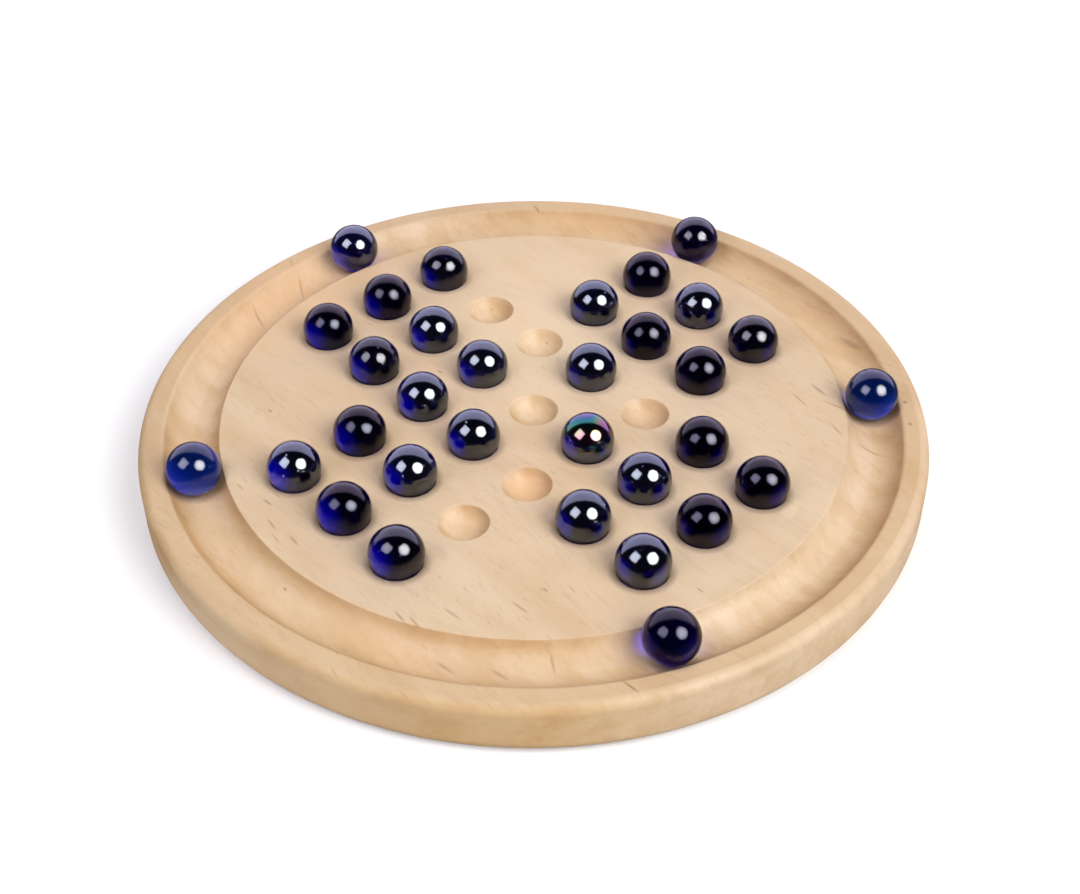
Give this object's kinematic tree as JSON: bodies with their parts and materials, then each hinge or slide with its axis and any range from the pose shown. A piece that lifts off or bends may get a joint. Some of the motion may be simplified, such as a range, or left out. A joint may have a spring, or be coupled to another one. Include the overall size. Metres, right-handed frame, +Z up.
{
  "type": "marble solitaire board",
  "caption": "Round turned wooden solitaire board: a cross of spherical cups with glass marbles, and a coved groove round the rim for the marbles taken off.",
  "frame": {"origin": "middle of the board's flat underside, where it rests on the table", "axes": "+Z up out of the top face; the rows of cups run along X and Y"},
  "size_m": [0.239, 0.239, 0.0295],
  "materials": {
    "turned_wood": "fine-sanded pale hardwood, satin",
    "cobalt_glass": "deep cobalt blue glass, polished",
    "lustre_glass": "cobalt blue glass with a pearly lustre, polished",
    "rainbow_glass": "dark glass with a rainbow lustre, polished",
    "clear_blue_glass": "clearer cobalt blue glass, polished"
  },
  "bodies": {
    "board": {"board": "turned_wood"},
    "marble_a3": {"marble_a3": "cobalt_glass"},
    "marble_a4": {"marble_a4": "cobalt_glass"},
    "marble_a5": {"marble_a5": "lustre_glass"},
    "marble_b3": {"marble_b3": "lustre_glass"},
    "marble_b4": {"marble_b4": "lustre_glass"},
    "marble_c1": {"marble_c1": "lustre_glass"},
    "marble_c2": {"marble_c2": "cobalt_glass"},
    "marble_c3": {"marble_c3": "lustre_glass"},
    "marble_c4": {"marble_c4": "lustre_glass"},
    "marble_c6": {"marble_c6": "lustre_glass"},
    "marble_c7": {"marble_c7": "cobalt_glass"},
    "marble_d1": {"marble_d1": "cobalt_glass"},
    "marble_d2": {"marble_d2": "lustre_glass"},
    "marble_d3": {"marble_d3": "lustre_glass"},
    "marble_d5": {"marble_d5": "lustre_glass"},
    "marble_d6": {"marble_d6": "cobalt_glass"},
    "marble_d7": {"marble_d7": "lustre_glass"},
    "marble_e1": {"marble_e1": "lustre_glass"},
    "marble_e4": {"marble_e4": "rainbow_glass"},
    "marble_e6": {"marble_e6": "cobalt_glass"},
    "marble_e7": {"marble_e7": "lustre_glass"},
    "marble_f3": {"marble_f3": "lustre_glass"},
    "marble_f4": {"marble_f4": "lustre_glass"},
    "marble_f5": {"marble_f5": "cobalt_glass"},
    "marble_g3": {"marble_g3": "lustre_glass"},
    "marble_g4": {"marble_g4": "cobalt_glass"},
    "marble_g5": {"marble_g5": "cobalt_glass"},
    "groove_marble_1": {"groove_marble_1": "clear_blue_glass"},
    "groove_marble_2": {"groove_marble_2": "lustre_glass"},
    "groove_marble_3": {"groove_marble_3": "lustre_glass"},
    "groove_marble_4": {"groove_marble_4": "clear_blue_glass"},
    "groove_marble_5": {"groove_marble_5": "cobalt_glass"}
  },
  "joints": [
    {"name": "a3_lift", "type": "slide", "parent": "board", "child": "marble_a3", "axis": [0, 0, 1], "range_m": [0, 0.025]},
    {"name": "a4_lift", "type": "slide", "parent": "board", "child": "marble_a4", "axis": [0, 0, 1], "range_m": [0, 0.025]},
    {"name": "a5_lift", "type": "slide", "parent": "board", "child": "marble_a5", "axis": [0, 0, 1], "range_m": [0, 0.025]},
    {"name": "b3_lift", "type": "slide", "parent": "board", "child": "marble_b3", "axis": [0, 0, 1], "range_m": [0, 0.025]},
    {"name": "b4_lift", "type": "slide", "parent": "board", "child": "marble_b4", "axis": [0, 0, 1], "range_m": [0, 0.025]},
    {"name": "c1_lift", "type": "slide", "parent": "board", "child": "marble_c1", "axis": [0, 0, 1], "range_m": [0, 0.025]},
    {"name": "c2_lift", "type": "slide", "parent": "board", "child": "marble_c2", "axis": [0, 0, 1], "range_m": [0, 0.025]},
    {"name": "c3_lift", "type": "slide", "parent": "board", "child": "marble_c3", "axis": [0, 0, 1], "range_m": [0, 0.025]},
    {"name": "c4_lift", "type": "slide", "parent": "board", "child": "marble_c4", "axis": [0, 0, 1], "range_m": [0, 0.025]},
    {"name": "c6_lift", "type": "slide", "parent": "board", "child": "marble_c6", "axis": [0, 0, 1], "range_m": [0, 0.025]},
    {"name": "c7_lift", "type": "slide", "parent": "board", "child": "marble_c7", "axis": [0, 0, 1], "range_m": [0, 0.025]},
    {"name": "d1_lift", "type": "slide", "parent": "board", "child": "marble_d1", "axis": [0, 0, 1], "range_m": [0, 0.025]},
    {"name": "d2_lift", "type": "slide", "parent": "board", "child": "marble_d2", "axis": [0, 0, 1], "range_m": [0, 0.025]},
    {"name": "d3_lift", "type": "slide", "parent": "board", "child": "marble_d3", "axis": [0, 0, 1], "range_m": [0, 0.025]},
    {"name": "d5_lift", "type": "slide", "parent": "board", "child": "marble_d5", "axis": [0, 0, 1], "range_m": [0, 0.025]},
    {"name": "d6_lift", "type": "slide", "parent": "board", "child": "marble_d6", "axis": [0, 0, 1], "range_m": [0, 0.025]},
    {"name": "d7_lift", "type": "slide", "parent": "board", "child": "marble_d7", "axis": [0, 0, 1], "range_m": [0, 0.025]},
    {"name": "e1_lift", "type": "slide", "parent": "board", "child": "marble_e1", "axis": [0, 0, 1], "range_m": [0, 0.025]},
    {"name": "e4_lift", "type": "slide", "parent": "board", "child": "marble_e4", "axis": [0, 0, 1], "range_m": [0, 0.025]},
    {"name": "e6_lift", "type": "slide", "parent": "board", "child": "marble_e6", "axis": [0, 0, 1], "range_m": [0, 0.025]},
    {"name": "e7_lift", "type": "slide", "parent": "board", "child": "marble_e7", "axis": [0, 0, 1], "range_m": [0, 0.025]},
    {"name": "f3_lift", "type": "slide", "parent": "board", "child": "marble_f3", "axis": [0, 0, 1], "range_m": [0, 0.025]},
    {"name": "f4_lift", "type": "slide", "parent": "board", "child": "marble_f4", "axis": [0, 0, 1], "range_m": [0, 0.025]},
    {"name": "f5_lift", "type": "slide", "parent": "board", "child": "marble_f5", "axis": [0, 0, 1], "range_m": [0, 0.025]},
    {"name": "g3_lift", "type": "slide", "parent": "board", "child": "marble_g3", "axis": [0, 0, 1], "range_m": [0, 0.025]},
    {"name": "g4_lift", "type": "slide", "parent": "board", "child": "marble_g4", "axis": [0, 0, 1], "range_m": [0, 0.025]},
    {"name": "g5_lift", "type": "slide", "parent": "board", "child": "marble_g5", "axis": [0, 0, 1], "range_m": [0, 0.025]},
    {"name": "groove_roll_1", "type": "hinge", "parent": "board", "child": "groove_marble_1", "pos_m": [0, 0, 0.018], "axis": [0, 0, 1], "range_deg": [-30.5, 23]},
    {"name": "groove_roll_2", "type": "hinge", "parent": "board", "child": "groove_marble_2", "pos_m": [0, 0, 0.018], "axis": [0, 0, 1], "range_deg": [-23, 29.5]},
    {"name": "groove_roll_3", "type": "hinge", "parent": "board", "child": "groove_marble_3", "pos_m": [0, 0, 0.018], "axis": [0, 0, 1], "range_deg": [-29.5, 30.5]},
    {"name": "groove_roll_4", "type": "hinge", "parent": "board", "child": "groove_marble_4", "pos_m": [0, 0, 0.018], "axis": [0, 0, 1], "range_deg": [-30.5, 42]},
    {"name": "groove_roll_5", "type": "hinge", "parent": "board", "child": "groove_marble_5", "pos_m": [0, 0, 0.018], "axis": [0, 0, 1], "range_deg": [-42, 30.5]}
  ]
}
